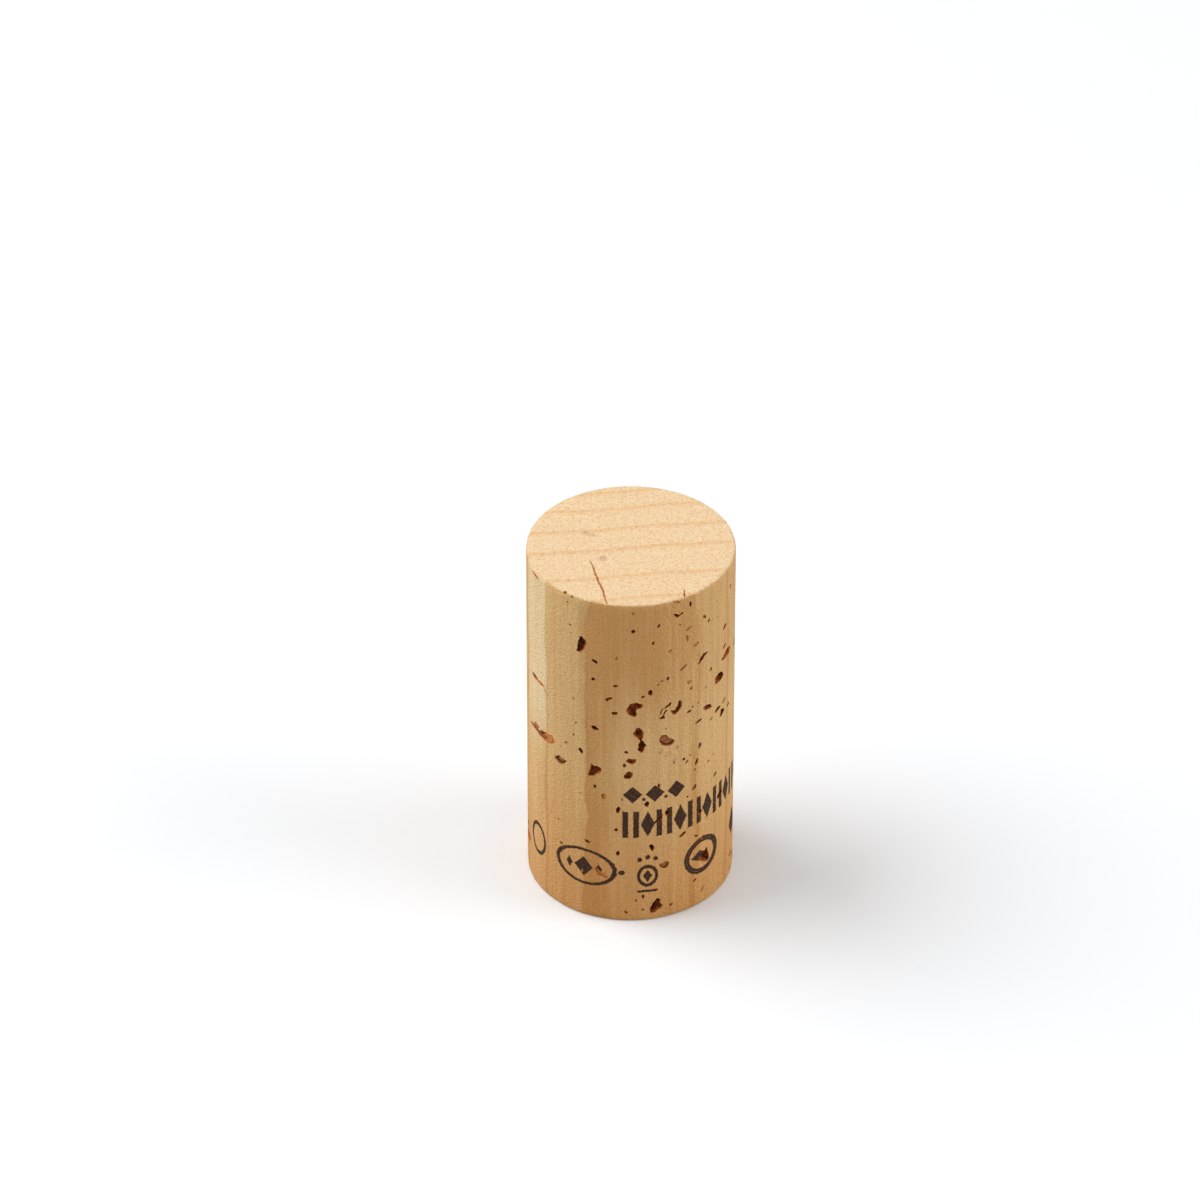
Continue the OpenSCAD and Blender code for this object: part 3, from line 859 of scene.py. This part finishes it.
def shared_groups():
    """The node groups that the cork's materials are made of."""
    return {
        "frame": bark_frame_group(), "growth": growth_group(), "cells": cells_group(),
        "flecks": flecks_group(), "skin": skin_group(), "ink": ink_group(), "smudges": smudge_group(),
    }


def new_material(name):
    """An empty material, its board, its Principled BSDF, and the place on the object."""
    material = bpy.data.materials.new(name)
    material.use_nodes = True
    board = Board(material.node_tree)
    surface = material.node_tree.nodes["Principled BSDF"]
    return material, board, surface, board.put("TexCoord").outputs["Object"]


def cork_material(groups):
    """Cut cork: growth layers, streaks, cells, flecks and the printed band."""
    material, board, surface, place = new_material("natural cork")
    spaces = board.group(groups["frame"], {"Place": place})
    bark, upright = spaces["Bark"], spaces["Upright"]
    growth = board.group(groups["growth"], {"Bark": bark})
    cells = board.group(groups["cells"], {"Bark": bark})
    end = board.group(groups["skin"], {"Upright": upright})["End"]
    height = board.put("SeparateXYZ", {"Vector": upright}).outputs["Z"]

    # Deeper, browner tone on the wall: fine upright streaks, broad patches, the brown layers towards the
    # top, their dark stripe lower down, the thin lines, and painted shade at the foot, which also turns it
    # more orange. Below the middle of the wall the layers' own colours grow alike.
    # Painted shade: foot is 1 at the floor and fades out 27 mm up; it darkens the wall and turns it more
    # orange.
    foot = board.between(height, 0.0, 27.0, 1.0, 0.0)
    deep = board.swing(board.noise(bark, 1.5, 2.4, 0.04, 4.0, 0.75), 1.5, 0.17)
    deep = board.swing(board.noise(bark, 0.3, 0.4, 0.09, 2.0), 0.5, deep)
    deep = board.math("MULTIPLY_ADD", board.between(height, 22.0, 37.0, 0.0, 0.8), growth["Brown"], deep)
    deep = board.math("MULTIPLY_ADD", board.between(height, 34.0, 24.0, 0.1, 0.6), growth["Stripe"], deep)
    deep = board.math("MULTIPLY_ADD", growth["Edge"], 0.5, deep)
    deep = board.math("MULTIPLY_ADD", foot, 0.35, deep)
    deep = board.swing(cells["Grain"], 0.8, deep, clamp=True)
    wall = board.mix(board.between(height, 28.0, 18.0, 0.0, 0.8), growth["Layer"], EVEN)
    wall = board.mix(deep, wall, DEEPER, "MULTIPLY")
    # Painted shade at the foot, darker and more orange.
    wall = board.mix(foot, wall, FOOT_SHADE, "MULTIPLY")

    # The end faces are paler and speckled, with the ends of the growth layers as soft dotted lines.
    dots = board.between(board.noise(bark, 2.2, 3.0, 2.2, 1.0, 0.5), 0.5, 0.72)
    line = board.math("MULTIPLY", growth["Line"], board.math("MULTIPLY_ADD", dots, 0.65, 0.42))
    speckle = board.between(board.noise(bark, 3.2, 3.2, 3.2, 2.0, 0.6), 0.45, 0.75, 0.0, 0.85)
    face = board.mix(board.math("MAXIMUM", line, speckle), END, END_LINE)
    blotch = board.swing(board.noise(bark, 1.2, 1.2, 1.2, 3.0, 0.7), 1.0, 0.14)
    face = board.mix(board.swing(cells["Grain"], 1.6, blotch, clamp=True), face, DEEPER, "MULTIPLY")
    colour = board.mix(end, wall, face)

    fleck = board.group(groups["flecks"], {"Bark": bark, "Share": 0.16})["Fleck"]
    colour = board.mix(board.math("MULTIPLY", fleck, 0.35), colour, FLECK)
    smudge = board.group(groups["smudges"], {"Upright": upright})["Smudge"]
    colour = board.mix(board.math("MULTIPLY", smudge, 0.75), colour, SMUDGE, "MULTIPLY")
    ink = board.group(groups["ink"], {"Upright": upright})["Ink"]
    worn = board.swing(board.noise(bark, 4.0, 4.0, 4.0, 2.0, 0.6), -0.6, 1.0, clamp=True)
    colour = board.mix(board.math("MULTIPLY", ink, worn), colour, INK)
    board.feed(surface.inputs["Base Color"], colour)
    surface.inputs["Roughness"].default_value = 0.7
    surface.inputs["Specular IOR Level"].default_value = 0.3
    relief = board.math("MULTIPLY_ADD", end, -0.45, 1.0)
    bump = board.put("Bump", {"Height": cells["Grain"], "Strength": relief, "Distance": RELIEF})
    board.feed(surface.inputs["Normal"], bump.outputs["Normal"])
    return material


def lining_material(groups, name, colours, *, rim_depth, low_depth, fineness):
    """The inside of a pore: a rim colour near the skin, two crumbly tones below it, and one more from
    low_depth down. The crumbs have that many waves a millimetre."""
    material, board, surface, place = new_material(name)
    spaces = board.group(groups["frame"], {"Place": place})
    depth = board.group(groups["skin"], {"Upright": spaces["Upright"]})["Depth"]
    rim, main, dark, lowest = colours
    crumbs = board.noise(spaces["Bark"], fineness, fineness, fineness, 4.0, 0.7)
    colour = board.mix(board.between(crumbs, 0.38, 0.62), main, dark)
    reach = board.swing(crumbs, 1.2 * rim_depth, depth)
    colour = board.mix(board.between(reach, 0.4 * rim_depth, 1.3 * rim_depth), rim, colour)
    colour = board.mix(board.between(reach, 0.8 * low_depth, 1.1 * low_depth), colour, lowest)
    board.feed(surface.inputs["Base Color"], colour)
    surface.inputs["Roughness"].default_value = 0.85
    surface.inputs["Specular IOR Level"].default_value = 0.2
    bump = board.put("Bump", {"Height": crumbs, "Strength": 0.8, "Distance": RELIEF})
    board.feed(surface.inputs["Normal"], bump.outputs["Normal"])
    return material


# Stage. Its sizes and places are in metres.

FLOOR_HALF = 6.0
FLOOR_GAP = 0.00002
# How far from the cork the floor's glow starts, and where it is full.
GLOW_START = 0.2
GLOW_FULL = 1.0
# The world's strength as a light. The camera sees it at 1, which is white.
ROOM_LIGHT = 0.5
# Where the lamps point.
AIM = (0, 0, 0.02)


def floor_material():
    """White that shows white to the camera and keeps the cork's shadow. Further off it also glows for the
    camera, so that it stays white up to its far edge."""
    material, board, surface, place = new_material("floor white")
    seen = board.put("LightPath").outputs["Is Camera Ray"]
    board.feed(surface.inputs["Base Color"], board.mix(seen, srgb(196, 194, 190), srgb(243, 245, 247)))
    away = board.vector_math("LENGTH", place)["Value"]
    far = board.math("MULTIPLY", seen, board.between(away, GLOW_START, GLOW_FULL))
    board.feed(surface.inputs["Emission Color"], board.mix(far, BLACK, WHITE))
    surface.inputs["Emission Strength"].default_value = 1.0
    surface.inputs["Roughness"].default_value = 0.9
    surface.inputs["Specular IOR Level"].default_value = 0.0
    return material


def plain_floor():
    """A large flat floor just under the cork."""
    mesh = bpy.data.meshes.new("floor")
    corners = [(x * FLOOR_HALF, y * FLOOR_HALF, 0) for x, y in ((-1, -1), (1, -1), (1, 1), (-1, 1))]
    mesh.from_pydata(corners, [], [(0, 1, 2, 3)])
    mesh.materials.append(floor_material())
    floor = bpy.data.objects.new("floor", mesh)
    bpy.context.scene.collection.objects.link(floor)
    floor.location.z = -FLOOR_GAP


def sky():
    """Plain soft light from all round, and white behind the floor's edge."""
    world = bpy.data.worlds.new("soft room")
    bpy.context.scene.world = world
    world.use_nodes = True
    board = Board(world.node_tree)
    background = world.node_tree.nodes["Background"]
    path = board.put("LightPath").outputs
    mirrored = board.math("MAXIMUM", path["Is Glossy Ray"], path["Is Transmission Ray"])
    seen = board.math("MAXIMUM", path["Is Camera Ray"], mirrored)
    board.feed(background.inputs["Strength"], board.between(seen, 0.0, 1.0, ROOM_LIGHT, 1.0))
    background.inputs["Color"].default_value = WHITE


def soft_lamp(name, place, size, power):
    """A large soft lamp that points at the cork."""
    light = bpy.data.lights.new(name, "AREA")
    light.shape = "DISK"
    light.size = size
    light.energy = power
    lamp = bpy.data.objects.new(name, light)
    lamp.location = place
    lamp.rotation_euler = (Vector(AIM) - Vector(place)).to_track_quat("-Z", "Y").to_euler()
    bpy.context.scene.collection.objects.link(lamp)


def camera():
    """The photograph's view: from the front, 35.6 degrees down, 0.93 m away."""
    lens = bpy.data.cameras.new("camera")
    lens.sensor_width = 36.0
    lens.lens = 237.8
    view = bpy.data.objects.new("camera", lens)
    view.location = (-0.00353, -0.73846, 0.56586)
    view.rotation_euler = (math.radians(54.404), 0, 0)
    bpy.context.scene.collection.objects.link(view)
    bpy.context.scene.camera = view


camera()
sky()
soft_lamp("window", (-0.57, 0.101, 0.689), size=0.8, power=6.0)
soft_lamp("right side", (0.768, -0.136, 0.45), size=0.6, power=3.1)
plain_floor()
groups = shared_groups()
cork = make_cork([
    cork_material(groups),
    lining_material(groups, "pore lining", DEEP_LINING, rim_depth=0.2, low_depth=3.0, fineness=1.6),
    lining_material(groups, "shallow pore", PALE_LINING, rim_depth=0.05, low_depth=0.28, fineness=3.5),
    lining_material(groups, "raw pore", RAW_LINING, rim_depth=0.05, low_depth=0.25, fineness=2.5),
    lining_material(groups, "faint pore", FAINT_LINING, rim_depth=0.05, low_depth=0.2, fineness=2.5),
])
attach(cork, "root")
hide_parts(NODE)
bpy.context.scene.view_settings.view_transform = "Standard"
